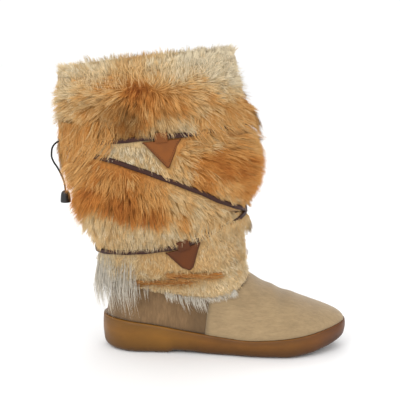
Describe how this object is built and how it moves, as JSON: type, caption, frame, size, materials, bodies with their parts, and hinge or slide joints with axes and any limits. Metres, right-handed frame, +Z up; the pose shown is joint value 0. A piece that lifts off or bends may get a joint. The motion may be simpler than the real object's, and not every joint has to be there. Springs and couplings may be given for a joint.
{
  "type": "fur winter boot",
  "caption": "Right fur winter boot: hollow leather upper, rubber wedge sole, short-haired vamp and a deep fur shaft tied in by a leather lace with triangular tabs.",
  "frame": {"origin": "on the floor under the middle of the boot's box, measured without the draw cord and its end", "axes": "+X from heel to toe, +Y towards the inner side of the foot, +Z up"},
  "size_m": [0.3201, 0.166, 0.3326],
  "materials": {
    "gum_rubber": "caramel gum rubber, satin, darker at the rolled edge",
    "felt": "pale felt",
    "quarter_leather": "greyish brown short nap",
    "vamp_hide": "beige hide with short hair",
    "fur": "long orange and cream fur",
    "lace_leather": "dark brown flat leather lace",
    "tab_leather": "tan smooth leather, dark stitched edge",
    "cord": "black elastic cord",
    "bell_plastic": "black plastic cord end"
  },
  "bodies": {
    "root": {"outsole": "gum_rubber", "insole": "felt", "upper": "quarter_leather", "vamp": "vamp_hide", "fur_shaft": "fur", "lace": "lace_leather", "tab_upper_outer": "tab_leather", "tab_upper_inner": "tab_leather", "tab_lower_outer": "tab_leather", "tab_lower_inner": "tab_leather", "draw_cord": "cord", "cord_bell": "bell_plastic"}
  },
  "joints": []
}
